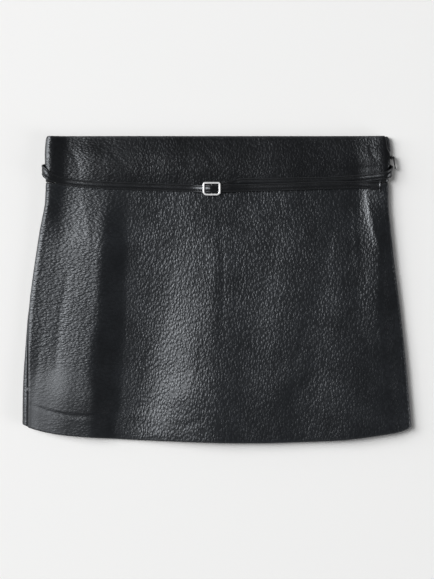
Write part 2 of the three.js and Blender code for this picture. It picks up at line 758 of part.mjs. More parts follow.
// The slider, drawn from the skirt's edge: the body inside, a neck through the zip's gap, and two ears that
// carry the pull tab's pin.
function slider() {
  const ear = PULL.width / 2 + PIN_PLAY + SLIDER.ear.high / 2;
  const plate = box({ ...SLIDER.plate, high: 2 * ear + SLIDER.ear.high });
  const ears = [-ear, ear].map((z) => box(SLIDER.ear, z));
  const pin = new THREE.CylinderGeometry(PIN_RADIUS, PIN_RADIUS, 2 * ear, 12)
    .rotateX(Math.PI / 2)
    .translate(PIN_OUT, 0, 0);
  return joined([plate, box(SLIDER.neck), box(SLIDER.body), ...ears, pin]);
}

// The pull tab, drawn from its pin and hanging towards -Y.
function pullTab() {
  const { length, width, thick, eye, hole, bevel } = PULL;
  const half = thick / 2;
  const lean = Math.asin(half / eye);
  const tip = half * 0.85;
  const shape = new THREE.Shape();
  shape.moveTo(half, -Math.sqrt(eye * eye - half * half));
  shape.absarc(0, 0, eye, lean - Math.PI / 2, 1.5 * Math.PI - lean, false);
  shape.lineTo(-tip, -length + tip);
  shape.absarc(0, -length + tip, tip, Math.PI, 2 * Math.PI, false);
  shape.closePath();
  shape.holes.push(new THREE.Path().absarc(0, 0, hole, 0, 2 * Math.PI, true));
  return extruded(shape, width, bevel, 8).translate(0, 0, -width / 2);
}

function mesh(name, geometry, look) {
  const made = new THREE.Mesh(geometry, new THREE.MeshStandardMaterial(COLOURS[look]));
  made.name = name;
  return made;
}

const skirt = new THREE.Group();
skirt.add(mesh("front_panel", frontPanel(), "leather"));
skirt.add(mesh("back_panel", backPanel(), "leather"));
skirt.add(mesh("waistband_front", waistband(frontLaps, 0), "band"));
skirt.add(mesh("waistband_back", waistband(backLaps, 0.6), "band"));
skirt.add(mesh("zip_tape", zipTape(), "zip"));
skirt.add(mesh("belt_strap_right", beltRight(), "belt"));
skirt.add(mesh("belt_strap_back", beltBack(), "belt"));
skirt.add(mesh("belt_strap_left", beltLeft(), "belt"));

const buckleMesh = mesh("buckle", buckle(), "steel");
buckleMesh.position.set(BUCKLE.x, BUCKLE.y, sectionAt(BUCKLE.y).front(BUCKLE.x));
skirt.add(buckleMesh);

const zipHead = new THREE.Group();
zipHead.position.set(rightEdge(SLIDER_Y), SLIDER_Y, sectionAt(SLIDER_Y).right.middle);
zipHead.add(mesh("zip_slider", slider(), "pull"));
const pull = mesh("zip_pull_tab", pullTab(), "pull");
pull.position.set(PIN_OUT, 0, 0);
pull.rotation.z = THREE.MathUtils.degToRad(PULL.angle);
zipHead.add(pull);
skirt.add(zipHead);

export default skirt;
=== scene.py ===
# A leather mini skirt laid flat on its back, with its slim strap belt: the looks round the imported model.
import math

import bpy
import numpy as np
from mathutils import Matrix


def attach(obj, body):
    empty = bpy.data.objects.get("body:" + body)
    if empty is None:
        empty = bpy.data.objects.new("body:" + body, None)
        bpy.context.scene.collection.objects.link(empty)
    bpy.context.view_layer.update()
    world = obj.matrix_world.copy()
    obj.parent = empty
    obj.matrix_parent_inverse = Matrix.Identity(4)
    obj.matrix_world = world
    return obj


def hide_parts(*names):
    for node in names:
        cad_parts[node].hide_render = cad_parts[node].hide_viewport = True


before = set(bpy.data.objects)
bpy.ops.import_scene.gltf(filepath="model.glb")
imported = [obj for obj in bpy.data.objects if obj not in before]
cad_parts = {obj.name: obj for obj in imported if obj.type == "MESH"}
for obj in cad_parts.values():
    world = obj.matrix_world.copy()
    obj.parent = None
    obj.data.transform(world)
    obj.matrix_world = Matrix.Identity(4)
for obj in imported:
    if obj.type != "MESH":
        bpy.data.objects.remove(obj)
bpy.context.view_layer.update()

MM = 0.001  # the shapes below are worked out in millimetres

# Cloth
WAIST_Y = 170
LEATHER = 1.3
BAND_LEATHER = 1.6
HEM_TURN_UP = 30
HEM_STEP = 4
LAY_GAP = 0.4
LAY_BLEND = 1.2
PACKED_LEATHER = 1.5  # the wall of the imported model, which the layers lie by
PACKED_BAND = 1.8
FOOT_SHARE = 1.1
SEAM_GAP = 0.3
SEAM_CENTRE_Y = 112.5
SEAM_SIDE_Y = 118.5
LEFT_SEAM_INSET = 6.9
LEFT_SEAM_FROM_Y = -125
LEFT_SEAM_TO_Y = -15
BACK_HEM_RISE = 0.8
NEAR_HEM_Y = -155
SEAM_ROLL = 0.55  # how far the leather rolls in at a seam
SEAM_ROLL_WIDTH = 1.1

# Belt
STRAP_WIDTH = 8.4
STRAP_THICK = 1.3
STRAP_REST = 1.05
STRAND_Y = 138
STRAND_LIFT = 1.7
STRAND_RAMP_BACK = 12
STRAND_RAMP_FRONT = 27
BELT_RIGHT_END = 3.12
BELT_BACK_ENDS = (3.121, 3.8655)
BELT_LEFT_END = -2.13
BUCKLE_X = -5.9
BUCKLE_Y = 111.1
BUCKLE_WIDTH = 19.8
BUCKLE_HEIGHT = 15
BUCKLE_BAR = 2.1
BUCKLE_THICK = 1.8
BUCKLE_LIFT = 5.1
BUCKLE_CORNER_TOP = 2.8
BUCKLE_CORNER_BOTTOM = 4.5
MIDDLE_BAR_RADIUS = 0.6
MIDDLE_BAR_LIFT = 2.5
MIDDLE_BAR_REACH = 5.35
LOOP_RADIUS = MIDDLE_BAR_RADIUS + 0.3 + STRAP_THICK / 2

# Concealed side zip
ZIP_TOP_Y = 141.2
ZIP_BOTTOM_Y = -42
ZIP_OPENING = 1.7
ZIP_OPENING_FROM_Y = 142.2
ZIP_OPENING_RAMP = 1.6
ZIP_OPENING_INSET = 2.6
ZIP_INSET_FROM_Y = 150
ZIP_INSET_TO_Y = 157
SLIDER_Y = 146
COIL_PITCH = 1.5
COIL_HALF = 1.6
COIL_RADIUS = 0.22
COIL_DEPTH = 0.35  # how far the coil's middle lies under the leather

# The outline seen from above: y, left, right.
OUTLINE = np.array([
    (-150, -215.8, 215.8),
    (-112, -215.4, 212.9),
    (-67, -212.7, 208.7),
    (-23, -209.5, 204.2),
    (22, -203.9, 198.6),
    (66, -197.1, 193.4),
    (99, -190.9, 190.6),
    (118, -190.2, 190.4),
    (150, -191.2, 192.9),
    (166, -190.2, 191.2),
    (170, -188.6, 189.2),
])
# The hem seen from above: x, y.
HEM = np.array([
    (-215.8, -150.5),
    (-201, -155.4),
    (-174, -160.7),
    (-130, -164.4),
    (-63, -167.6),
    (37, -170),
    (92, -168.8),
    (137, -166.8),
    (181, -161.3),
    (202, -157.9),
    (215.8, -152.5),
])
# The front's relief: each line runs up the skirt through the stations.
STATIONS = np.array([-160, -125, -85, -30, 40, 112, 170])
FOLDS = [
    {"line": "left turn",
     "x": (-208.6, -208.2, -207, -203, -194.5, -185.5, -184), "z": (9.4, 8.6, 7.6, 7, 7, 9, 8.8)},
    {"line": "left hollow",
     "x": (-198, -196, -192, -187, -179, -168, -165), "z": (10.8, 10, 8.45, 7.8, 7.7, 6.6, 5.6)},
    {"line": "left brow",
     "x": (-166, -162, -155, -144, -138, -138, -132), "z": (13.2, 13.6, 12, 12, 11.95, 8.4, 6.6)},
    {"line": "left fold",
     "x": (-142, -138, -142, -133, -129, -120, -96), "z": (13.8, 14.5, 12.65, 12.6, 12.7, 8.8, 7)},
    {"line": "left valley",
     "x": (-112, -106, -103, -100, -98, -94, -76), "z": (7.6, 6, 6, 6.2, 7.2, 8.4, 7)},
    {"line": "middle foot",
     "x": (-98, -90, -81, -80, -78, -66, -60), "z": (7.9, 6.2, 6.2, 6.3, 7.3, 8.3, 6.9)},
    {"line": "middle brow",
     "x": (-16, -20, -21, -14, -11, -20, -26), "z": (15.8, 15.8, 14.3, 12.8, 10.8, 8.3, 6.8)},
    {"line": "middle fold",
     "x": (0, -1, -2, -3, -1, -4, -10), "z": (16.5, 16.8, 15.3, 13.4, 11.15, 8.3, 6.8)},
    {"line": "middle valley",
     "x": (32, 30, 34, 32, 30, 34, 20), "z": (14.9, 15.1, 14, 13, 11, 7.8, 6.7)},
    {"line": "low fold",
     "x": (64, 64, 84, 84, 100, 84, 60), "z": (14.9, 15.1, 14.7, 14, 12.2, 8, 6.7)},
    {"line": "low valley",
     "x": (92, 92, 107, 109, 126, 112, 100), "z": (13.9, 14, 13.9, 13.5, 12.1, 7.8, 6.6)},
    {"line": "right swell",
     "x": (150, 150, 148, 140, 140, 132, 122), "z": (15.6, 15.5, 14.9, 14.2, 12, 7.3, 6.7)},
    {"line": "right valley",
     "x": (172, 170, 166, 154, 157, 155, 148), "z": (15.2, 15.1, 14.6, 14, 11.8, 7, 6.8)},
    {"line": "right fold",
     "x": (190, 188, 184, 176, 179, 174, 169), "z": (14, 14, 13.8, 14.6, 13, 9.2, 8.2)},
    {"line": "right turn",
     "x": (210, 208, 204.8, 199.2, 190.5, 185.6, 184), "z": (10.4, 10, 9.8, 10, 10.6, 9.9, 9.8)},
]


def smoothstep(value, low, high):
    share = np.clip((value - low) / (high - low), 0, 1)
    return share * share * (3 - 2 * share)


def lerp(start, end, share):
    return start + (end - start) * share


def smooth_value(place, knots, values, level_ends=False):
    """A smooth curve through the knots that doesn't overshoot them. Each place may have its own knots."""
    place = np.atleast_1d(np.asarray(place, float))
    knots = np.broadcast_to(knots.reshape(len(knots), -1), (len(knots), place.size))
    values = np.broadcast_to(values.reshape(len(values), -1), knots.shape)
    gaps = np.diff(knots, axis=0)
    rises = np.diff(values, axis=0) / gaps
    near = 2 * gaps[1:] + gaps[:-1]
    far = gaps[1:] + 2 * gaps[:-1]
    same_way = rises[:-1] * rises[1:] > 0
    before = np.where(same_way, rises[:-1], 1)
    after = np.where(same_way, rises[1:], 1)
    inner = np.where(same_way, (near + far) / (near / before + far / after), 0)
    ends = 0 if level_ends else 1
    slopes = np.concatenate([rises[:1] * ends, inner, rises[-1:] * ends])
    flat_place = place.ravel()
    i = np.clip((knots <= flat_place).sum(axis=0) - 1, 0, len(gaps) - 1)
    pick = np.arange(flat_place.size)
    gap = gaps[i, pick]
    t = np.clip((flat_place - knots[i, pick]) / gap, 0, 1)
    u = 1 - t
    level = u * u * (1 + 2 * t) * values[i, pick] + t * t * (1 + 2 * u) * values[i + 1, pick]
    return (level + gap * t * u * (u * slopes[i, pick] - t * slopes[i + 1, pick])).reshape(place.shape)


def tabled(knots, values, low, high, step=0.25):
    """A smooth curve, worked out once in small steps and then read off at many places."""
    places = np.arange(low, high + step, step)
    levels = smooth_value(places, np.array(knots, float), np.array(values, float))
    return lambda place: np.interp(place, places, levels)


left_edge = tabled(OUTLINE[:, 0], OUTLINE[:, 1], -180, 180)
right_edge = tabled(OUTLINE[:, 0], OUTLINE[:, 2], -180, 180)
hem_line = tabled(HEM[:, 0], HEM[:, 1], -220, 220)
fold_across = [tabled(STATIONS, fold["x"], -180, 180) for fold in FOLDS]
fold_height = [tabled(STATIONS, fold["z"], -180, 180) for fold in FOLDS]


def seam_line(x):
    share = np.clip(np.abs(x) / 190, 0, 1)
    return lerp(SEAM_CENTRE_Y, SEAM_SIDE_Y, share * share)


def strand_hump(y, ramp):
    away = np.abs(y - STRAND_Y) - STRAP_WIDTH / 2 - 0.8
    return STRAND_LIFT * (1 - smoothstep(away, 0, ramp))


def wall_at(x, y, leather=LEATHER, band=BAND_LEATHER):
    above_hem = y - hem_line(x)
    turned_up = 1 - smoothstep(above_hem, HEM_TURN_UP - HEM_STEP / 2, HEM_TURN_UP + HEM_STEP / 2)
    return lerp(leather * (1 + turned_up), band, smoothstep(y - seam_line(x), -6, 0))


def front_height(x, y):
    shape = x.shape
    x = x.ravel()
    y = y.ravel()
    across = np.array([line(y) for line in fold_across])
    heights = np.array([line(y) for line in fold_height])
    lying = 2 * wall_at(x, y, PACKED_LEATHER, PACKED_BAND) + LAY_GAP
    apart = smooth_value(x, across, heights, level_ends=True) - lying
    height = strand_hump(y, STRAND_RAMP_FRONT) + lying + (apart + np.sqrt(apart**2 + LAY_BLEND**2)) / 2
    return height.reshape(shape)


def quarter_turn(side, part, y, lower):
    """A quarter of the turn at one side, between the front or the back and the edge."""
    edge, turn = (left_edge(y), fold_across[0](y)) if side == "left" else (right_edge(y), fold_across[-1](y))
    under = strand_hump(y, STRAND_RAMP_BACK)
    top = front_height(turn, y)
    middle = (top + under) / 2
    start = lerp(edge, turn, FOOT_SHARE) if lower else turn
    reach = under - middle if lower else top - middle
    outward = part if (side == "right") != lower else 1 - part
    angle = outward * math.pi / 2
    return start + (edge - start) * np.sin(angle), middle + reach * np.cos(angle)


def across_front(part, y):
    x = lerp(fold_across[0](y), fold_across[-1](y), part)
    return x, front_height(x, y)


def across_back(part, y):
    right_foot = lerp(right_edge(y), fold_across[-1](y), FOOT_SHARE)
    left_foot = lerp(left_edge(y), fold_across[0](y), FOOT_SHARE)
    return lerp(right_foot, left_foot, part), strand_hump(y, STRAND_RAMP_BACK)


LEGS = [
    across_front,
    lambda part, y: quarter_turn("right", part, y, False),
    lambda part, y: quarter_turn("right", part, y, True),
    across_back,
    lambda part, y: quarter_turn("left", part, y, True),
    lambda part, y: quarter_turn("left", part, y, False),
]


def place_at(lap, y):
    """A place round the section at y, as x and z. lap 0 to 1 crosses the front from left to right, 1 to 3
    turns round the right side, 3 to 4 crosses the back, and 4 to 6 turns round the left side."""
    lap, y = np.broadcast_arrays(np.asarray(lap, float), np.asarray(y, float))
    shape = lap.shape
    turned = np.mod(lap.ravel(), 6)
    y = y.ravel()
    leg = turned.astype(int)
    x = np.empty(turned.size)
    z = np.empty(turned.size)
    for number, walk in enumerate(LEGS):
        here = leg == number
        if here.any():
            x[here], z[here] = walk(turned[here] - number, y[here])
    return x.reshape(shape), z.reshape(shape)


def skin_at(lap, y, step=1e-4):
    """Points of the outer surface and the way out of it, square to the section."""
    x, z = place_at(lap, y)
    before = place_at(lap - step, y)
    after = place_at(lap + step, y)
    out = np.stack([before[1] - after[1], np.zeros_like(x), after[0] - before[0]], axis=-1)
    out /= np.linalg.norm(out, axis=-1, keepdims=True)
    return np.stack([x, np.broadcast_to(y, x.shape), z], axis=-1), out


def lap_length(lap, y, step=1e-3):
    before = place_at(lap - step, y)
    after = place_at(lap + step, y)
    return np.hypot(after[0] - before[0], after[1] - before[1]) / (2 * step)


def left_seam(y):
    depth = fold_across[0](y) - left_edge(y)
    inset = LEFT_SEAM_INSET * (1 - smoothstep(y, LEFT_SEAM_FROM_Y, LEFT_SEAM_TO_Y))
    return -1 + np.arccos(1 - np.minimum(inset / depth, 0.97)) / math.pi * 2


def right_seam(y):
    depth = right_edge(y) - fold_across[-1](y)
    inset = ZIP_OPENING_INSET * smoothstep(y, ZIP_INSET_FROM_Y, ZIP_INSET_TO_Y)
    return 1 + np.arcsin(1 - inset / depth) / math.pi * 2


def right_seam_gap(y):
    opened = smoothstep(y, ZIP_OPENING_FROM_Y - ZIP_OPENING_RAMP, ZIP_OPENING_FROM_Y)
    return lerp(SEAM_GAP, ZIP_OPENING, opened)


# Creases: from and to (both x, y), how far they bow to the side, half width and depth. Ridges are below 0 deep.
FRONT_CREASES = [
    {"at": (-206, -127), "to": (-122, -138), "bow": -6.5, "half": 1.5, "deep": 0.75},
    {"at": (-140, -140), "to": (-98, -137.5), "bow": 1, "half": 1.3, "deep": 0.45},
    {"at": (-163, 24), "to": (-178, -92), "bow": -3, "half": 3.6, "deep": 0.3},
    {"at": (-190, -30), "to": (-200, -108), "bow": -2, "half": 4, "deep": 0.2},
    {"at": (-150, 108), "to": (-141, 40), "bow": 2, "half": 3, "deep": -0.2},
    {"at": (-92, -146), "to": (-60, -160), "bow": 2, "half": 3.2, "deep": 0.3},
    {"at": (-44, -152), "to": (-12, -141), "bow": -2, "half": 3, "deep": 0.25},
    {"at": (3, 90), "to": (4, -60), "bow": 3, "half": 3.5, "deep": 0.25},
    {"at": (104, -30), "to": (82, -132), "bow": -5, "half": 5, "deep": 0.3},
    {"at": (128, 84), "to": (112, 10), "bow": 4, "half": 5, "deep": 0.2},
    {"at": (151, 104), "to": (158, 10), "bow": -2, "half": 2.6, "deep": -0.2},
    {"at": (166, 113), "to": (183, 34), "bow": -3, "half": 3.2, "deep": -0.5},
    {"at": (188, 74), "to": (202, -92), "bow": 5, "half": 3.6, "deep": 0.4},
    {"at": (150, -142), "to": (206, -139), "bow": 2, "half": 2, "deep": 0.3},
    {"at": (-20, 108), "to": (-34, 84), "bow": 2, "half": 3, "deep": 0.15},
    {"at": (40, 110), "to": (64, 88), "bow": -3, "half": 4, "deep": 0.15},
]
BACK_CREASES = [
    {"at": (196, -120), "to": (104, -140), "bow": 7, "half": 1.8, "deep": 0.6},
    {"at": (-60, -120), "to": (-150, -136), "bow": 5, "half": 2.4, "deep": 0.45},
    {"at": (-38, 104), "to": (-62, -40), "bow": -8, "half": 6, "deep": 0.5},
    {"at": (58, 90), "to": (84, -96), "bow": 9, "half": 7, "deep": 0.55},
    {"at": (132, 104), "to": (154, 20), "bow": -4, "half": 4, "deep": 0.35},
    {"at": (-128, 100), "to": (-150, 4), "bow": 5, "half": 4.5, "deep": 0.35},
    {"at": (-14, -60), "to": (10, -150), "bow": 4, "half": 6, "deep": 0.4},
    {"at": (-96, 40), "to": (-118, -70), "bow": -5, "half": 5, "deep": 0.3},
]
BAND_CREASES = [
    {"at": (-190, 167), "to": (191, 167), "bow": 0, "half": 0.8, "deep": 0.22},
    {"at": (-166, 160), "to": (-152, 126), "bow": 3, "half": 3, "deep": 0.2},
    {"at": (-120, 163), "to": (-92, 130), "bow": -4, "half": 4, "deep": 0.15},
    {"at": (-30, 160), "to": (6, 132), "bow": 4, "half": 4, "deep": 0.12},
    {"at": (92, 158), "to": (126, 132), "bow": -3, "half": 3.5, "deep": 0.14},
    {"at": (140, 131), "to": (188, 134), "bow": 2, "half": 2.2, "deep": 0.25},
    {"at": (168, 160), "to": (181, 138), "bow": -2, "half": 2.6, "deep": 0.2},
]
SMOOTH_SPOTS = [
    {"x": -172, "y": -98, "reach": 24},
    {"x": -203, "y": -138, "reach": 16},
    {"x": 168, "y": 128, "reach": 18},
]
UNEVEN = 0.11  # height of the leather's soft unevenness


def crease_relief(creases, x, y):
    """How far creases push the surface in or out, added up."""
    total = np.zeros_like(x)
    for crease in creases:
        start = np.array(crease["at"], float)
        way = np.array(crease["to"], float) - start
        length = np.hypot(*way)
        along = ((x - start[0]) * way[0] + (y - start[1]) * way[1]) / length**2
        aside = ((y - start[1]) * way[0] - (x - start[0]) * way[1]) / length
        inside = np.clip(along, 0, 1)
        bowed = aside - crease["bow"] * 4 * inside * (1 - inside)
        beyond = (along - inside) * length
        distance = np.hypot(bowed, beyond) / crease["half"]
        fade = np.sin(math.pi * np.clip(along, 0.02, 0.98)) ** 0.6
        total -= crease["deep"] * fade * np.exp(-distance**2)
    return total


def unevenness(x, y):
    """Broad, low waves that keep the leather from lying perfectly smooth."""
    broad = np.sin(x / 13.1 + 1.7 * np.sin(y / 31)) * np.sin(y / 17.3 + 1.3 * np.sin(x / 23))
    small = np.sin((x + 0.6 * y) / 6.7) * np.sin((y - 0.4 * x) / 9.1 + np.sin(x / 40))
    return UNEVEN * (broad + 0.5 * small)


def grain_strength(x, y):
    """1 where the grain is full, less where the leather is worn smooth."""
    strength = np.ones_like(x)
    for spot in SMOOTH_SPOTS:
        away = np.hypot(x - spot["x"], y - spot["y"]) / spot["reach"]
        strength *= 1 - 0.7 * np.exp(-away**2)
    return strength


def grid_faces(rows, columns, rows_round=False, columns_round=False):
    """Quads between the points of a grid. A round way joins its last row or column to its first."""
    down = np.arange(rows if rows_round else rows - 1)[:, None]
    across = np.arange(columns if columns_round else columns - 1)[None, :]
    below = (down + 1) % rows
    beside = (across + 1) % columns
    a = down * columns + across
    b = down * columns + beside
    c = below * columns + beside
    d = below * columns + across
    return np.stack([a, b, c, d], axis=-1).reshape(-1, 4)


def facing_out(points, faces):
    """The faces, turned round if they bound a volume from its inside."""
    a, b, c, d = (points[faces[:, k]] for k in range(4))
    middle = points.mean(axis=0)
    volume = np.einsum("ij,ij->", a - middle, np.cross(b - middle, c - middle))
    volume += np.einsum("ij,ij->", a - middle, np.cross(c - middle, d - middle))
    return faces if volume > 0 else faces[:, ::-1]


def new_piece(name, points, faces, material, body="skirt", caps=()):
    """A mesh object of quads and flat end caps, from points in millimetres, that rides on a body."""
    points = np.asarray(points, float).reshape(-1, 3)
    turned = facing_out(points, faces)
    if turned is not faces:
        caps = [cap[::-1] for cap in caps]
    corners = np.concatenate([turned.ravel(), *caps]).astype(np.int32)
    sizes = np.array([4] * len(turned) + [len(cap) for cap in caps])
    mesh = bpy.data.meshes.new(name)
    mesh.vertices.add(len(points))
    mesh.vertices.foreach_set("co", (points * MM).astype(np.float32).ravel())
    mesh.loops.add(corners.size)
    mesh.loops.foreach_set("vertex_index", corners)
    mesh.polygons.add(len(sizes))
    mesh.polygons.foreach_set("loop_start", (np.cumsum(sizes) - sizes).astype(np.int32))
    mesh.update(calc_edges=True)
    mesh.polygons.foreach_set("use_smooth", np.arange(len(sizes)) < len(turned))
    mesh.materials.append(material)
    mesh.validate()
    piece = bpy.data.objects.new(name, mesh)
    bpy.context.scene.collection.objects.link(piece)
    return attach(piece, body)


def point_values(piece, name, values):
    """Keeps a number at each point of a piece for its material."""
    attribute = piece.data.attributes.new(name, "FLOAT", "POINT")
    attribute.data.foreach_set("value", np.asarray(values, np.float32).ravel())


def front_laps(share, y):
    """Laps of the front for shares from -1, the left seam, over 0 and 1, its turns, to 2, the right seam."""
    start = left_seam(y)
    start = start + SEAM_GAP / 2 / lap_length(start, y)
    end = right_seam(y)
    end = end - right_seam_gap(y) / 2 / lap_length(end, y)
    turned = np.where(share < 0, -share * start, share)
    return np.where(share > 1, lerp(1, end, share - 1), turned)


def back_laps(share, y):
    """Laps of the back for shares from -1, the right seam, over 0 and 1, its turns, to 2, the left seam."""
    start = right_seam(y)
    start = start + right_seam_gap(y) / 2 / lap_length(start, y)
    end = left_seam(y) + 6
    end = end - SEAM_GAP / 2 / lap_length(end, y)
    turned = np.where(share < 0, lerp(3, start, -share), share + 3)
    return np.where(share > 1, lerp(4, end, share - 1), turned)


def edge_roll(distance):
    """How far the leather rolls in towards a seam."""
    return SEAM_ROLL * np.exp(-(np.maximum(distance, 0) / SEAM_ROLL_WIDTH) ** 2)


def wall_profile(height, step, foot_round, head_round):
    """The way round a wall: (up in millimetres from the low end, share of the wall's depth)."""
    heights = [0.9, 1.6, 2.6, 4, 6]
    heights += list(np.arange(8, height - 7, step))
    heights += [height - 6, height - 4, height - 2.6, height - 1.6, height - 0.9]
    outer = [(up, 0) for up in heights]
    inner = [(up, 1) for up in reversed(heights)]

    def turn(end, way, rounding):
        angles = np.linspace(0, math.pi, 7)[1:-1]
        return [(end - way * rounding * (1 - math.sin(a)), (1 - math.cos(a)) / 2) for a in angles]

    head = turn(height, 1, head_round)
    foot = turn(0, -1, foot_round)[::-1]
    return np.array(outer + head + inner + foot)


def cloth_piece(name, laps, shares, profile, bottom, top, wall, creases, material, seams):
    """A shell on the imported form, one closed wall with rounded ends."""
    share = shares[None, :]
    low = bottom(place_at(laps(share, np.full_like(share, NEAR_HEM_Y)), NEAR_HEM_Y)[0])
    high = top(place_at(laps(share, np.full_like(share, STRAND_Y)), STRAND_Y)[0])
    nominal = profile[:, 0].max()
    y = low + (high - low) * (profile[:, :1] / nominal)
    lap = laps(np.broadcast_to(share, y.shape), y)
    points, out = skin_at(lap, y)
    x = points[..., 0]
    first = laps(np.full_like(y, -1), y)
    last = laps(np.full_like(y, 2), y)
    near_side = np.minimum((lap - first) * lap_length(first, y), (last - lap) * lap_length(last, y))
    level = crease_relief(creases, x, y) + unevenness(x, y) - UNEVEN - edge_roll(near_side)
    if "top" in seams:
        level = level - edge_roll(high - y)
    if "bottom" in seams:
        level = level - edge_roll(y - low)
    thick = wall(x, y)
    points = points + out * (level - profile[:, 1:] * thick)[..., None]
    rows, columns = y.shape
    faces = grid_faces(rows, columns, rows_round=True)
    piece = new_piece(name, points, faces, material, caps=side_caps(rows, columns))
    edge = np.minimum(near_side, np.minimum(y - low, high - y))
    point_values(piece, "wear", np.exp(-(np.maximum(edge, 0) / 1.6) ** 2))
    point_values(piece, "grain", grain_strength(x, y) * (1 - 0.6 * np.exp(-(np.maximum(edge, 0) / 2.5) ** 2)))
    return piece


def side_caps(rows, columns):
    """The two side ends of a wall, whose rows run up its outside and down its inside."""
    k = np.arange((rows - 1) // 2)
    ring = np.stack([k, k + 1, rows - 2 - k, rows - 1 - k], axis=-1)
    ring = ring[ring[:, 1] < ring[:, 2]]
    return [*(ring * columns), *(ring[:, ::-1] * columns + columns - 1)]


# Materials
def new_material(name):
    material = bpy.data.materials.new(name)
    material.use_nodes = True
    return material, material.node_tree, material.node_tree.nodes["Principled BSDF"]


def node(tree, kind, inputs, **settings):
    """A node with its settings, and its inputs set to values or joined to other nodes' outputs."""
    made = tree.nodes.new(kind)
    for key, value in settings.items():
        setattr(made, key, value)
    for key, value in inputs.items():
        if isinstance(value, bpy.types.NodeSocket):
            tree.links.new(value, made.inputs[key])
        else:
            made.inputs[key].default_value = value
    return made


def maths(tree, operation, first, second):
    return node(tree, "ShaderNodeMath", {0: first, 1: second}, operation=operation).outputs[0]


def blended(tree, share, first, second):
    """Two colours mixed by a share."""
    mix = node(tree, "ShaderNodeMix", {0: share, 6: first, 7: second}, data_type="RGBA")
    return mix.outputs[2]


def noise(tree, place, size, detail=2):
    """Noise with spots of about a size in millimetres, from 0 to 1."""
    return node(tree, "ShaderNodeTexNoise", {"Vector": place, "Scale": 1 / (size * MM), "Detail": detail})


def ranged(tree, value, low, high, to_low, to_high):
    inputs = {"Value": value, "From Min": low, "From Max": high, "To Min": to_low, "To Max": to_high}
    return node(tree, "ShaderNodeMapRange", inputs).outputs[0]


def bumped(tree, shader, height, depth):
    bump = node(tree, "ShaderNodeBump", {"Height": height, "Distance": depth * MM, "Strength": 1})
    tree.links.new(bump.outputs["Normal"], shader.inputs["Normal"])


def pebbles(tree, place, cell, turn, stretch):
    """Rounded cells, stretched and turned, as heights from 0 in the creases to 1 on top."""
    placed = node(tree, "ShaderNodeMapping", {"Vector": place, "Rotation": (0, 0, turn), "Scale": stretch})
    cells = node(tree, "ShaderNodeTexVoronoi", {"Vector": placed.outputs[0], "Scale": 1 / (cell * MM)})
    round_top = ranged(tree, cells.outputs["Distance"], 0.12, 0.68, 1, 0)
    return maths(tree, "POWER", round_top, 0.8)


def leather_material(name, colour, worn, roughness, cell, depth):
    """Pebbled leather. Its cells lie level on the left and lean to the upright in the middle and right."""
    material, tree, shader = new_material(name)
    place = node(tree, "ShaderNodeTexCoord", {}).outputs["Object"]
    wander = noise(tree, place, 9, 1).outputs["Color"]
    shift = node(tree, "ShaderNodeVectorMath", {0: wander, 1: (0.5, 0.5, 0.5)}, operation="SUBTRACT")
    scaled = node(tree, "ShaderNodeVectorMath", {0: shift.outputs[0], "Scale": 2.6 * MM}, operation="SCALE")
    moved = node(tree, "ShaderNodeVectorMath", {0: place, 1: scaled.outputs[0]}, operation="ADD").outputs[0]
    level = pebbles(tree, moved, cell, 0.1, (0.7, 1.25, 1))
    upright = pebbles(tree, moved, cell, 0.45, (1.2, 0.72, 1))
    across = node(tree, "ShaderNodeSeparateXYZ", {"Vector": moved}).outputs["X"]
    share = ranged(tree, across, -0.115, -0.085, 0, 1)
    cells = node(tree, "ShaderNodeMix", {0: share, 2: level, 3: upright}).outputs[0]
    pores = noise(tree, place, 0.8).outputs["Fac"]
    clouds = noise(tree, place, 38, 3).outputs["Fac"]
    wear = node(tree, "ShaderNodeAttribute", {}, attribute_name="wear").outputs["Fac"]
    grain = node(tree, "ShaderNodeAttribute", {}, attribute_name="grain").outputs["Fac"]
    height = maths(tree, "ADD", cells, maths(tree, "MULTIPLY", pores, 0.3))
    patchy = maths(tree, "MULTIPLY", grain, ranged(tree, clouds, 0.3, 0.7, 0.75, 1.15))
    bumped(tree, shader, maths(tree, "MULTIPLY", height, patchy), depth)
    darker = [part * 0.72 for part in colour]
    lighter = [part * 1.3 for part in colour]
    tone = blended(tree, ranged(tree, clouds, 0.3, 0.7, 0, 1), (*darker, 1), (*lighter, 1))
    # painted shade: the creases between the pebbles are mixed towards a darker copy of the colour, most at their
    # bottoms
    crease_shaded = blended(tree, ranged(tree, cells, 0, 0.5, 0.45, 0), tone, (*[part * 0.45 for part in colour], 1))
    edged = blended(tree, maths(tree, "MULTIPLY", wear, 0.55), crease_shaded, (*worn, 1))
    tree.links.new(edged, shader.inputs["Base Color"])
    dull = maths(tree, "ADD", ranged(tree, clouds, 0.3, 0.7, -0.02, 0.03), maths(tree, "MULTIPLY", wear, 0.1))
    tree.links.new(maths(tree, "ADD", dull, roughness), shader.inputs["Roughness"])
    shader.inputs["Specular Tint"].default_value = (0.91, 0.95, 1, 1)
    return material


def metal_material(name, colour, roughness, metallic, scratch):
    """Polished or enamelled metal with fine scratches and faint wear."""
    material, tree, shader = new_material(name)
    place = node(tree, "ShaderNodeTexCoord", {}).outputs["Object"]
    drawn = node(tree, "ShaderNodeMapping", {"Vector": place, "Rotation": (0, 0, 0.6), "Scale": (1, 14, 1)})
    lines = noise(tree, drawn.outputs[0], 1.6, 3).outputs["Fac"]
    spots = noise(tree, place, 2.2, 2).outputs["Fac"]
    dull = [part * 0.82 for part in colour]
    tone = blended(tree, ranged(tree, spots, 0.35, 0.7, 0, 1), (*colour, 1), (*dull, 1))
    tree.links.new(tone, shader.inputs["Base Color"])
    tree.links.new(ranged(tree, lines, 0.3, 0.7, roughness * 0.8, roughness * 1.3), shader.inputs["Roughness"])
    shader.inputs["Metallic"].default_value = metallic
    bumped(tree, shader, lines, scratch)
    return material


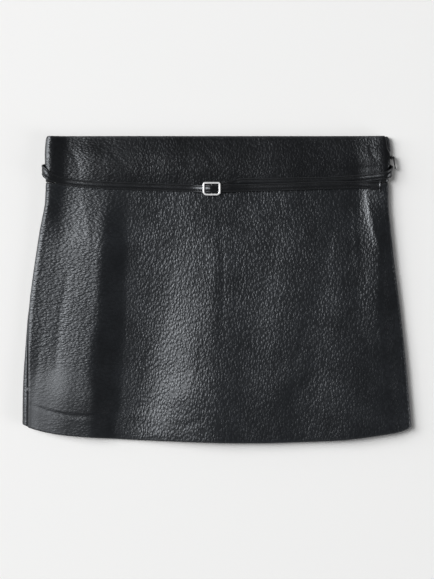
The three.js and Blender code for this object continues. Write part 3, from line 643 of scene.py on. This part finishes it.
def woven_material(name, colour):
    """A tightly woven tape."""
    material, tree, shader = new_material(name)
    place = node(tree, "ShaderNodeTexCoord", {}).outputs["Object"]
    warp = node(tree, "ShaderNodeTexWave", {"Vector": place, "Scale": 420.0}, bands_direction="Y").outputs["Fac"]
    weft = node(tree, "ShaderNodeTexWave", {"Vector": place, "Scale": 420.0}, bands_direction="Z").outputs["Fac"]
    thread = maths(tree, "MULTIPLY", warp, weft)
    fuzz = noise(tree, place, 0.5).outputs["Fac"]
    light = [part * 2 for part in colour]
    tone = blended(tree, maths(tree, "MULTIPLY", thread, fuzz), (*colour, 1), (*light, 1))
    tree.links.new(tone, shader.inputs["Base Color"])
    tree.links.new(ranged(tree, fuzz, 0.3, 0.7, 0.7, 0.9), shader.inputs["Roughness"])
    bumped(tree, shader, maths(tree, "ADD", thread, fuzz), 0.12)
    return material


# Skirt
def front_panel(material):
    shares = np.concatenate([
        np.linspace(-1, 0, 11)[:-1],
        np.linspace(0, 1, 241),
        np.linspace(1, 2, 11)[1:],
    ])
    profile = wall_profile(282, 2, 1.3, 0.5)
    piece = cloth_piece("front_panel_leather", front_laps, shares, profile, hem_line,
                        lambda x: seam_line(x) - SEAM_GAP / 2, wall_at, FRONT_CREASES, material, ["top"])
    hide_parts("front_panel")


def back_panel(material):
    shares = np.concatenate([
        np.linspace(-1, 0, 11)[:-1],
        np.linspace(0, 1, 181),
        np.linspace(1, 2, 11)[1:],
    ])
    profile = wall_profile(282, 3, 1.3, 0.5)
    piece = cloth_piece("back_panel_leather", back_laps, shares, profile,
                        lambda x: hem_line(x) + BACK_HEM_RISE,
                        lambda x: seam_line(x) - SEAM_GAP / 2, wall_at, BACK_CREASES, material, ["top"])
    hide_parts("back_panel")


def waistband(name, replaced, laps, rise, creases, material):
    shares = np.concatenate([
        np.linspace(-1, 0, 11)[:-1],
        np.linspace(0, 1, 201),
        np.linspace(1, 2, 11)[1:],
    ])
    profile = wall_profile(56, 1.3, 0.5, 0.8)
    piece = cloth_piece(name, laps, shares, profile, lambda x: seam_line(x) + SEAM_GAP / 2,
                        lambda x: np.full_like(x, WAIST_Y - rise),
                        lambda x, y: np.full_like(x, BAND_LEATHER), creases, material, ["bottom"])
    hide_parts(replaced)


# Belt: its surface is worked out in distance round the section from the middle of the front, height up the
# skirt and height off it.
ROUND_YS = np.arange(103, 146, 1.5)
ROUND_LAPS = np.linspace(-2.6, 4, 2641)


def rounds():
    """Distance round the section at each of ROUND_LAPS, a row for each of ROUND_YS."""
    lap, y = np.meshgrid(ROUND_LAPS, ROUND_YS)
    x, z = place_at(lap, y)
    steps = np.hypot(np.diff(x, axis=1), np.diff(z, axis=1))
    travelled = np.concatenate([np.zeros((len(ROUND_YS), 1)), np.cumsum(steps, axis=1)], axis=1)
    middle = lap_of_x(0, ROUND_YS)
    start = [np.interp(place, ROUND_LAPS, row) for place, row in zip(middle, travelled)]
    return travelled - np.array(start)[:, None]


def lap_of_x(x, y):
    left = fold_across[0](y)
    return (x - left) / (fold_across[-1](y) - left)


def between_rows(y, read):
    """Reads two neighbouring rows of the table of rounds and mixes what they give by the height."""
    row = np.clip(((y - ROUND_YS[0]) / 1.5).astype(int), 0, len(ROUND_YS) - 2)
    result = np.empty(y.shape)
    for number in np.unique(row):
        here = row == number
        share = (y[here] - ROUND_YS[number]) / 1.5
        result[here] = lerp(read(number, here), read(number + 1, here), share)
    return result


def over_skin(table, spots):
    """Points for an array of (distance round, height up, height off)."""
    along, y, off = (spots[..., k].ravel() for k in range(3))
    lap = between_rows(y, lambda number, here: np.interp(along[here], table[number], ROUND_LAPS))
    points, out = skin_at(lap, y)
    return (points + out * off[:, None]).reshape(spots.shape)


def smooth_route(knots, spacing):
    """A centripetal Catmull-Rom curve: its points, the way ahead, and how many knots each point has passed."""
    padded = np.concatenate([[2 * knots[0] - knots[1]], knots, [2 * knots[-1] - knots[-2]]])
    gaps = np.linalg.norm(np.diff(padded, axis=0), axis=1) ** 0.5
    points, ways, passed = [], [], []
    for k in range(len(knots) - 1):
        p0, p1, p2, p3 = padded[k:k + 4]
        d0, d1, d2 = gaps[k:k + 3]
        start = d1 * ((p1 - p0) / d0 - (p2 - p0) / (d0 + d1) + (p2 - p1) / d1)
        end = d1 * ((p2 - p1) / d1 - (p3 - p1) / (d1 + d2) + (p3 - p2) / d2)
        count = max(2, round(float(np.linalg.norm(p2 - p1)) / spacing))
        t = np.linspace(0, 1, count + 1)[(0 if k == 0 else 1):, None]
        square = -3 * p1 + 3 * p2 - 2 * start - end
        cube = 2 * p1 - 2 * p2 + start + end
        points.append(p1 + start * t + square * t**2 + cube * t**3)
        ways.append(start + 2 * square * t + 3 * cube * t**2)
        passed.append(k + t[:, 0])
    ahead = np.concatenate(ways)
    ahead /= np.linalg.norm(ahead, axis=1, keepdims=True)
    return np.concatenate(points), ahead, np.concatenate(passed)


# The strap's section: distance in from its edge and height, with a rolled edge and a groove for the stitches.
STRAP_TOP = [
    (0, 0), (0.12, 0.34), (0.42, 0.6), (0.85, 0.66), (1.25, 0.56), (1.6, 0.26), (1.9, 0.12), (2.3, 0.24), (3, 0.48),
]
STRAP_UNDERSIDE = [(0.85, -0.65), (0.42, -0.6), (0.12, -0.34)]
STITCH_INSET = 1.9
STITCH_PITCH = 2.6
STITCH_LENGTH = 1.8
STITCH_RADIUS = 0.2
STITCH_HEIGHT = 0.2
TAIL_CREASES = {"reach": 22, "deep": 0.6, "count": 2.5, "slant": 26}


def strap_section(width):
    """Places across and heights of the ring of points at each width, from one edge over the top and back."""
    half = width[:, None] / 2
    inset, height = np.array(STRAP_TOP).T
    below_inset, below = np.array(STRAP_UNDERSIDE).T
    across = np.concatenate([
        half - inset, 0 * half, (inset - half)[:, ::-1], (below_inset - half)[:, ::-1], half - below_inset,
    ], axis=1)
    heights = np.concatenate([height, [0.5], height[::-1], below[::-1], below])
    return across, np.broadcast_to(heights, across.shape).copy()


def strap_frame(ahead):
    """The ways across and up that go with the way ahead."""
    across = np.array([0, 1, 0]) - ahead * ahead[:, 1:2]
    across /= np.linalg.norm(across, axis=1, keepdims=True)
    return across, np.cross(ahead, across)


def strap(table, name, replaced, rows, materials, tail=False):
    """A stitched strap along rows of x or lap, y, height off and width."""
    y = np.array([row["y"] for row in rows], float)
    lap = np.array([row["lap"] if "lap" in row else lap_of_x(row["x"], row["y"]) for row in rows])
    along = between_rows(y, lambda number, here: np.interp(lap[here], ROUND_LAPS, table[number]))
    knots = np.stack([along, y, np.array([row["off"] for row in rows], float)], axis=-1)
    widths = np.array([row.get("width", STRAP_WIDTH) for row in rows], float)
    middle, ahead, passed = smooth_route(knots, 1.5)
    width = np.interp(passed, np.arange(len(rows)), widths)
    across_way, up_way = strap_frame(ahead)
    across, height = strap_section(width)
    travelled = np.concatenate([[0], np.cumsum(np.linalg.norm(np.diff(middle, axis=0), axis=1))])
    if tail:
        to_end = travelled[-1] - travelled
        pinch = (1 - smoothstep(to_end, 0, TAIL_CREASES["reach"]))[:, None]
        turns = TAIL_CREASES["count"] * across / width[:, None] + to_end[:, None] / TAIL_CREASES["slant"]
        ripple = 0.5 + 0.5 * np.cos(2 * math.pi * turns)
        height -= np.where(height > 0.1, TAIL_CREASES["deep"] * pinch * ripple, 0)
    ring = middle[:, None] + across_way[:, None] * across[..., None] + up_way[:, None] * height[..., None]
    rings, sides = across.shape
    caps = [np.arange(sides), np.arange(sides)[::-1] + (rings - 1) * sides]
    faces = grid_faces(rings, sides, columns_round=True)
    piece = new_piece(name, over_skin(table, ring), faces, materials[0], caps=caps)
    edge = width[:, None] / 2 - np.abs(across)
    point_values(piece, "wear", np.exp(-(edge / 0.7) ** 2))
    point_values(piece, "grain", np.ones_like(edge))
    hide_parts(replaced)
    stitches(table, name.replace("strap", "stitches"), middle, ahead, width, travelled, materials[1])


def stitches(table, name, middle, ahead, width, travelled, material):
    """Two rows of stitches in the strap's grooves."""
    places = np.arange(STITCH_PITCH, travelled[-1] - STITCH_PITCH, STITCH_PITCH)
    centre, way = (
        np.stack([np.interp(places, travelled, values[:, k]) for k in range(3)], axis=-1)
        for values in (middle, ahead)
    )
    across_way, up_way = strap_frame(way)
    half = np.interp(places, travelled, width)[:, None] / 2
    turns = np.linspace(0, 2 * math.pi, 7)[:-1]
    reach = np.array([-0.5, -0.4, 0, 0.4, 0.5])[None, :, None, None] * STITCH_LENGTH
    radius = np.array([0.35, 0.9, 1, 0.9, 0.35])[None, :, None, None] * STITCH_RADIUS
    bundles = []
    for side in (-1, 1):
        core = centre + across_way * side * (half - STITCH_INSET) + up_way * STITCH_HEIGHT
        bundles.append(
            core[:, None, None]
            + way[:, None, None] * reach
            + across_way[:, None, None] * radius * np.cos(turns)[None, None, :, None]
            + up_way[:, None, None] * radius * np.sin(turns)[None, None, :, None]
        )
    bundle(name, over_skin(table, np.concatenate(bundles)), material)


def bundle(name, tubes, material):
    """Many small closed tubes, from an array of tubes, rings, sides and coordinates, as one piece."""
    count, rings, sides, _ = tubes.shape
    one = grid_faces(rings, sides, columns_round=True)
    starts = np.arange(count) * rings * sides
    faces = (one[None] + starts[:, None, None]).reshape(-1, 4)
    around = np.arange(sides)
    caps = [cap + start for start in starts for cap in (around[::-1], around + (rings - 1) * sides)]
    piece = new_piece(name, tubes, faces, material, caps=caps)


def belt(strap_leather, thread):
    table = rounds()
    materials = [strap_leather, thread]
    x, y = BUCKLE_X, BUCKLE_Y
    loop = [
        {"x": x + LOOP_RADIUS * math.cos(angle), "y": y, "off": MIDDLE_BAR_LIFT + LOOP_RADIUS * math.sin(angle)}
        for angle in np.radians(np.linspace(-90, -270, 7))
    ]
    over = STRAP_REST + STRAP_THICK + 0.3
    above = STRAP_REST + STRAP_THICK + 0.35
    strap(table, "belt_strap_right_fine", "belt_strap_right", [
        {"x": x + 16.5, "y": y + 0.9, "off": STRAP_REST},
        {"x": x + 11, "y": y + 0.5, "off": STRAP_REST},
        {"x": x + 5, "y": y, "off": STRAP_REST},
        *loop,
        {"x": x + 3, "y": y + 0.2, "off": 3.65},
        {"x": x + 6, "y": y + 0.7, "off": 2.8},
        {"x": x + 9, "y": y + 1.5, "off": over},
        {"x": x + 13, "y": y + 2.7, "off": over},
        {"x": x + 18, "y": y + 4.2, "off": over},
        {"x": x + 25, "y": y + 6, "off": 1.2},
        {"x": x + 34, "y": 118.6, "off": STRAP_REST},
        {"x": 60, "y": 119.2, "off": STRAP_REST},
        {"x": 95, "y": 119.8, "off": STRAP_REST},
        {"x": 130, "y": 120.8, "off": STRAP_REST},
        {"x": 158, "y": 122.8, "off": STRAP_REST},
        {"x": 172, "y": 124.2, "off": 1.2},
        {"x": 181, "y": 125.2, "off": 1.6},
        {"lap": 1.25, "y": 126.4, "off": 1.9},
        {"lap": 1.6, "y": 128.2, "off": 2.3},
        {"lap": 1.95, "y": 130.6, "off": 2.5},
        {"lap": 2.3, "y": 133, "off": 2.1},
        {"lap": 2.65, "y": 135.2, "off": 1.2},
        {"lap": 3, "y": 136.8, "off": STRAP_REST},
        {"lap": 3.06, "y": 137.8, "off": STRAP_REST},
        {"lap": BELT_RIGHT_END, "y": STRAND_Y, "off": STRAP_REST},
    ], materials)
    strap(table, "belt_strap_back_fine", "belt_strap_back", [
        {"lap": lap, "y": STRAND_Y, "off": STRAP_REST} for lap in np.linspace(*BELT_BACK_ENDS, 4)
    ], materials)
    strap(table, "belt_strap_left_fine", "belt_strap_left", [
        {"lap": BELT_LEFT_END, "y": STRAND_Y, "off": STRAP_REST},
        {"lap": -2.07, "y": 137.8, "off": STRAP_REST},
        {"lap": -2, "y": 136.8, "off": STRAP_REST},
        {"lap": -1.65, "y": 135.6, "off": 1.3},
        {"lap": -1.3, "y": 134.6, "off": 2.4},
        {"lap": -0.95, "y": 132.8, "off": 2.9},
        {"lap": -0.55, "y": 129.6, "off": 2.7},
        {"lap": -0.1, "y": 125.6, "off": 2.2},
        {"x": -181.5, "y": 123.2, "off": 1.9},
        {"x": -175, "y": 120.9, "off": 1.4},
        {"x": -163, "y": 118.6, "off": STRAP_REST},
        {"x": -146, "y": 116.8, "off": STRAP_REST},
        {"x": -117, "y": 115.1, "off": STRAP_REST},
        {"x": -86, "y": 113.8, "off": STRAP_REST},
        {"x": -50, "y": 112.6, "off": STRAP_REST},
        {"x": -26, "y": 111.8, "off": 1.1},
        {"x": x - 13, "y": y + 0.2, "off": 2.6},
        {"x": x - 8.8, "y": y, "off": 3.9},
        {"x": x - 5.6, "y": y, "off": 5.2},
        {"x": x - 2.6, "y": y, "off": 6.1},
        {"x": x + 0.4, "y": y, "off": 6.2},
        {"x": x + 3.4, "y": y + 0.1, "off": 5.4},
        {"x": x + 6.4, "y": y + 0.2, "off": 4.35},
        {"x": x + 9.4, "y": y + 0.3, "off": 4.15},
        {"x": x + 14, "y": y + 0.5, "off": 4.15},
        {"x": x + 19, "y": y + 0.7, "off": 4.1},
        {"x": x + 26, "y": y + 0.9, "off": 3.3},
        {"x": x + 38, "y": 112.4, "off": above},
        {"x": 62, "y": 113.2, "off": above},
        {"x": 95, "y": 114.3, "off": above},
        {"x": 125, "y": 115.4, "off": above},
        {"x": 150, "y": 115.7, "off": above, "width": 8},
        {"x": 165, "y": 115.2, "off": 2.6, "width": 8},
        {"x": 174, "y": 114.8, "off": 2.3, "width": 9.6},
        {"x": 180.6, "y": 114.5, "off": 2.1, "width": 11.2},
    ], materials, tail=True)


# Buckle
def rounded_outline(width, height, top, bottom, corner_points=8):
    """Points of a closed outline with its own corner radius at the top and at the bottom."""
    points = []
    corners = [(1, 1, top), (-1, 1, top), (-1, -1, bottom), (1, -1, bottom)]
    for number, (right, up, radius) in enumerate(corners):
        for angle in np.radians(np.linspace(0, 90, corner_points) + 90 * number):
            points.append((
                right * (width / 2 - radius) + radius * math.cos(angle),
                up * (height / 2 - radius) + radius * math.sin(angle),
            ))
    return np.array(points)


def bar_section(wide, high, sides=20, squareness=0.7):
    """A ring of points between an ellipse and a rectangle."""
    turns = np.linspace(0, 2 * math.pi, sides + 1)[:-1]
    across = np.sign(np.cos(turns)) * np.abs(np.cos(turns)) ** squareness
    up = np.sign(np.sin(turns)) * np.abs(np.sin(turns)) ** squareness
    return wide / 2 * across, high / 2 * up


def buckle(material):
    front = front_height(np.array([float(BUCKLE_X)]), np.array([BUCKLE_Y]))[0]
    base = np.array([BUCKLE_X, BUCKLE_Y, front])
    path = rounded_outline(BUCKLE_WIDTH - BUCKLE_BAR, BUCKLE_HEIGHT - BUCKLE_BAR,
                           BUCKLE_CORNER_TOP - BUCKLE_BAR / 2, BUCKLE_CORNER_BOTTOM - BUCKLE_BAR / 2)
    way = np.roll(path, -1, axis=0) - np.roll(path, 1, axis=0)
    way /= np.linalg.norm(way, axis=1, keepdims=True)
    outward = np.stack([way[:, 1], -way[:, 0]], axis=-1)
    wide, high = bar_section(BUCKLE_BAR, BUCKLE_THICK)
    flat = path[:, None] + outward[:, None] * wide[None, :, None]
    height = np.broadcast_to(BUCKLE_LIFT + BUCKLE_THICK / 2 + high, flat.shape[:2])
    frame_points = np.concatenate([flat, height[..., None]], axis=-1) + base
    low = MIDDLE_BAR_LIFT
    top = BUCKLE_LIFT + BUCKLE_THICK / 2
    end = BUCKLE_HEIGHT / 2 - BUCKLE_BAR / 2
    leg = [
        (end, top), (end - 0.4, top - 0.8), (MIDDLE_BAR_REACH, low + 1.2),
        (MIDDLE_BAR_REACH - 0.35, low + 0.25), (MIDDLE_BAR_REACH - 1, low),
    ]
    knots = np.array([(0, y, z) for y, z in [*leg, (0, low), *((-y, z) for y, z in reversed(leg))]], float)
    middle, ahead, _ = smooth_route(knots, 0.5)
    side = np.array([1.0, 0, 0])
    up = np.cross(side, ahead)
    turns = np.linspace(0, 2 * math.pi, 13)[:-1]
    rod = middle[:, None] + MIDDLE_BAR_RADIUS * (
        side * np.cos(turns)[None, :, None] + up[:, None] * np.sin(turns)[None, :, None]
    ) + base
    rows, sides = frame_points.shape[:2]
    frame_faces = grid_faces(rows, sides, rows_round=True, columns_round=True)
    rod_faces = grid_faces(len(middle), len(turns), columns_round=True)
    frame_faces = facing_out(frame_points.reshape(-1, 3), frame_faces)
    rod_faces = facing_out(rod.reshape(-1, 3), rod_faces) + rows * sides
    points = np.concatenate([frame_points.reshape(-1, 3), rod.reshape(-1, 3)])
    piece = new_piece("buckle_polished", points, np.concatenate([frame_faces, rod_faces]), material)
    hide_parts("buckle")


# Zip
def zip_coil(material):
    """The closed coil between the tape and the leather, a turn every COIL_PITCH."""
    y = np.arange(ZIP_BOTTOM_Y + 3, SLIDER_Y - 3, COIL_PITCH)
    depth = LEATHER + COIL_DEPTH
    offsets = np.linspace(-1, 1, 7)
    middle = right_seam(y)
    lap = middle[:, None] + offsets * COIL_HALF / lap_length(middle, y)[:, None]
    points, out = skin_at(lap, np.broadcast_to(y[:, None], lap.shape))
    arch = COIL_RADIUS * (offsets**2 - 0.4)
    centre = points - out * (depth + arch[None, :])[..., None]
    turns = np.linspace(0, 2 * math.pi, 7)[:-1]
    up = np.array([0.0, 1, 0])
    swell = np.array([0.5, 0.9, 1, 1, 1, 0.9, 0.5])[None, :, None, None] * COIL_RADIUS
    tubes = centre[:, :, None] + swell * (
        out[:, :, None] * np.cos(turns)[None, None, :, None] + up * np.sin(turns)[None, None, :, None]
    )
    bundle("zip_coil", tubes, material)


def dress(name, material):
    """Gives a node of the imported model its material."""
    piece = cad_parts[name]
    piece.data.materials.clear()
    piece.data.materials.append(material)


def floor():
    size = 40
    corners = [(-size, -size, 0), (size, -size, 0), (size, size, 0), (-size, size, 0)]
    mesh = bpy.data.meshes.new("floor")
    mesh.from_pydata(corners, [], [(0, 1, 2, 3)])
    ground = bpy.data.objects.new("floor", mesh)
    bpy.context.scene.collection.objects.link(ground)
    ground.location.z = -0.0004
    material = bpy.data.materials.new("pale_floor")
    material.use_nodes = True
    shader = material.node_tree.nodes["Principled BSDF"]
    shader.inputs["Base Color"].default_value = (0.86, 0.86, 0.855, 1)
    shader.inputs["Roughness"].default_value = 0.9
    mesh.materials.append(material)


def area_light(name, side, from_above, away, width, length, power):
    """A softbox that looks at the skirt. side is the way it comes from, in degrees from +X towards +Y."""
    light = bpy.data.lights.new(name, "AREA")
    light.shape = "RECTANGLE"
    light.size = width
    light.size_y = length
    light.energy = power
    lamp = bpy.data.objects.new(name, light)
    bpy.context.scene.collection.objects.link(lamp)
    turn = math.radians(side)
    lean = math.radians(from_above)
    lamp.location = (
        away * math.sin(lean) * math.cos(turn),
        away * math.sin(lean) * math.sin(turn),
        away * math.cos(lean),
    )
    lamp.rotation_euler = (-lamp.location).to_track_quat("-Z", "Y").to_euler()


def lights():
    world = bpy.data.worlds.new("studio")
    world.use_nodes = True
    background = world.node_tree.nodes["Background"]
    background.inputs["Color"].default_value = (1, 1, 1, 1)
    background.inputs["Strength"].default_value = 0.1
    bpy.context.scene.world = world
    area_light("softbox", 160, 48, 12.0, 6.2, 6.2, 955)
    area_light("strip_box", 162, 30, 12.0, 2.6, 5.1, 558)
    area_light("fill", -20, 77, 8.0, 4.0, 4.0, 270)
    area_light("low_box", 168, 73, 12.0, 6.0, 6.0, 460)


def camera():
    away = 2.0
    frame_height = 579 / 434 * 0.4822
    data = bpy.data.cameras.new("camera")
    data.sensor_width = 36
    data.lens = 36 * away / frame_height
    eye = bpy.data.objects.new("camera", data)
    bpy.context.scene.collection.objects.link(eye)
    eye.location = (0, 0, away)
    bpy.context.scene.camera = eye


thread = metal_material("waxed_thread", (0.012, 0.0125, 0.0135), 0.5, 0, 0.03)
worn = (0.03, 0.0315, 0.034)
skirt_leather = leather_material("pebbled_leather", (0.0105, 0.0118, 0.0138), worn, 0.29, 2.7, 0.19)
# painted shade: the waistband is the same leather as the skirt, its colour darkened to about half to stand in for
# the shade it shows; its grain is also finer and shallower and its gloss a little higher
shaded_band_leather = leather_material("pressed_leather_painted_shade", (0.0055, 0.006, 0.007), worn, 0.26, 2.4, 0.13)
strap_leather = leather_material("strap_leather", (0.006, 0.0065, 0.0075), worn, 0.28, 1.1, 0.05)
back_panel(skirt_leather)
front_panel(skirt_leather)
waistband("waistband_front_leather", "waistband_front", front_laps, 0, BAND_CREASES, shaded_band_leather)
waistband("waistband_back_leather", "waistband_back", back_laps, 0.6, BAND_CREASES, shaded_band_leather)
belt(strap_leather, thread)
buckle(metal_material("polished_silver", (0.88, 0.885, 0.89), 0.34, 0.45, 0.012))
zip_coil(metal_material("coil_nylon", (0.012, 0.012, 0.013), 0.4, 0, 0.02))
enamel = metal_material("black_enamel", (0.014, 0.0145, 0.0155), 0.28, 0.3, 0.015)
dress("zip_slider", enamel)
dress("zip_pull_tab", enamel)
dress("zip_tape", woven_material("woven_tape", (0.008, 0.008, 0.009)))
floor()
lights()
camera()
bpy.context.scene.view_settings.view_transform = "Standard"
